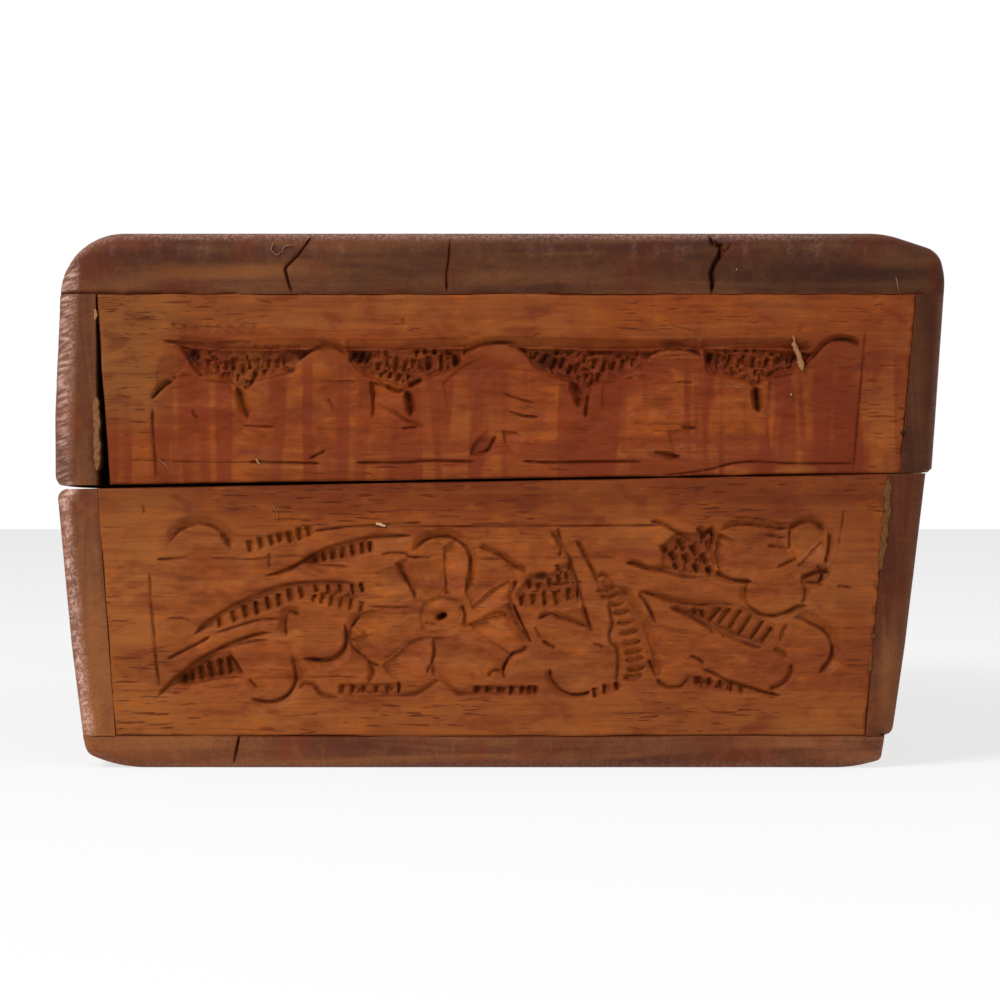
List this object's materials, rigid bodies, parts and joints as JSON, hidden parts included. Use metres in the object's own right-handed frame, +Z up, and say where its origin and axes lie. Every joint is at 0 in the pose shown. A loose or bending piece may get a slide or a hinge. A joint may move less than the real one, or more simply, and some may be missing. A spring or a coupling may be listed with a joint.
{
  "type": "trinket box",
  "caption": "Small wooden keepsake box with carved end panels, leaning sides and a thick lid that folds back on brass butt hinges.",
  "frame": {"origin": "on the resting plane, midway between the ends and midway across the widest part of the boards", "axes": "+X along the box towards the carved end in the picture, +Y towards the hinge side, +Z up"},
  "size_m": [0.16, 0.1091, 0.0648],
  "materials": {
    "carved_wood": "satin",
    "long_wood": "satin",
    "board_wood": "satin",
    "hinge_brass": "satin",
    "pin_steel": "satin",
    "nail_steel": "dull"
  },
  "bodies": {
    "base": {"base_front_board": "long_wood", "base_back_board": "long_wood", "base_left_end": "carved_wood", "base_right_end": "carved_wood", "bottom_board": "board_wood", "left_hinge_base_leaf": "hinge_brass", "right_hinge_base_leaf": "hinge_brass", "left_hinge_pin": "pin_steel", "right_hinge_pin": "pin_steel", "base_hinge_screws": "hinge_brass", "bottom_board_nails": "nail_steel"},
    "lid": {"lid_top_board": "board_wood", "lid_front_board": "long_wood", "lid_back_board": "long_wood", "lid_left_end": "carved_wood", "lid_right_end": "carved_wood", "left_hinge_lid_leaf": "hinge_brass", "right_hinge_lid_leaf": "hinge_brass", "lid_hinge_screws": "hinge_brass", "top_board_nails": "nail_steel"}
  },
  "joints": [
    {"name": "lid_hinge", "type": "hinge", "parent": "base", "child": "lid", "pos_m": [0, 0.05375, 0.0357], "axis": [-1, 0, 0], "range_deg": [0, 180]}
  ]
}
